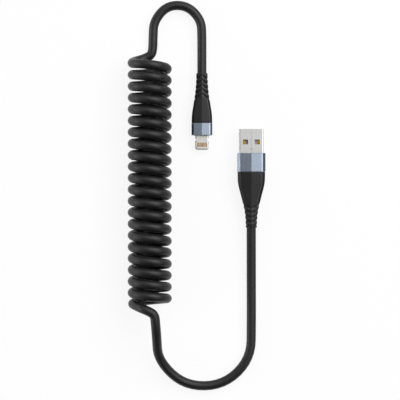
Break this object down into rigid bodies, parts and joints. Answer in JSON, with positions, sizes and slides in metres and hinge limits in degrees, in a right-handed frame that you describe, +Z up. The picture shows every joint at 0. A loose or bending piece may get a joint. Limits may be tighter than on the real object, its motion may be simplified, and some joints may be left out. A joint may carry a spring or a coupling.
{
  "type": "coiled charging cable",
  "caption": "Curly charging cord with a rectangular host plug and a flat phone plug, each with a metal collar and a grooved strain relief.",
  "frame": {"origin": "on the surface that the cable lies on, under the middle of the host plug's collar", "axes": "+Z up from that surface, +Y the way the host plug goes in, +X to the right of it seen from above"},
  "size_m": [0.0672, 0.1917, 0.0215],
  "materials": {
    "cord_black": "matte black soft jacket",
    "boot_black": "matte black moulded relief",
    "collar_metal": "blue-grey anodised, satin",
    "shell_metal": "nickel plated sheet",
    "tab_metal": "nickel plated",
    "can_metal": "tinned sheet",
    "contact_gold": "gold plated",
    "insulator_plastic": "light grey moulded",
    "insert_plastic": "off-white moulded",
    "inner_mould": "dark moulded",
    "board_green": "solder-masked board",
    "chip_black": "moulded package",
    "capacitor_tan": "ceramic",
    "wire_red": "insulation",
    "wire_white": "insulation",
    "wire_green": "insulation",
    "wire_black": "insulation"
  },
  "bodies": {
    "root": {"coil": "cord_black", "host_boot": "boot_black", "host_collar": "collar_metal", "host_contact_data_minus": "contact_gold", "host_contact_data_plus": "contact_gold", "host_contact_ground": "contact_gold", "host_contact_power": "contact_gold", "host_inner_mould": "inner_mould", "host_insulator": "insulator_plastic", "host_lead": "cord_black", "host_shell": "shell_metal", "host_wire_data_minus": "wire_white", "host_wire_data_plus": "wire_green", "host_wire_ground": "wire_black", "host_wire_power": "wire_red", "phone_board": "board_green", "phone_boot": "boot_black", "phone_can": "can_metal", "phone_capacitor_left": "capacitor_tan", "phone_capacitor_right": "capacitor_tan", "phone_chip": "chip_black", "phone_collar": "collar_metal", "phone_contact_back_1": "contact_gold", "phone_contact_back_2": "contact_gold", "phone_contact_back_3": "contact_gold", "phone_contact_back_4": "contact_gold", "phone_contact_back_5": "contact_gold", "phone_contact_back_6": "contact_gold", "phone_contact_back_7": "contact_gold", "phone_contact_back_8": "contact_gold", "phone_contact_front_1": "contact_gold", "phone_contact_front_2": "contact_gold", "phone_contact_front_3": "contact_gold", "phone_contact_front_4": "contact_gold", "phone_contact_front_5": "contact_gold", "phone_contact_front_6": "contact_gold", "phone_contact_front_7": "contact_gold", "phone_contact_front_8": "contact_gold", "phone_inner_mould": "inner_mould", "phone_insert": "insert_plastic", "phone_lead": "cord_black", "phone_tab": "tab_metal", "phone_wire_data_minus": "wire_white", "phone_wire_data_plus": "wire_green", "phone_wire_ground": "wire_black", "phone_wire_power": "wire_red"}
  },
  "joints": []
}
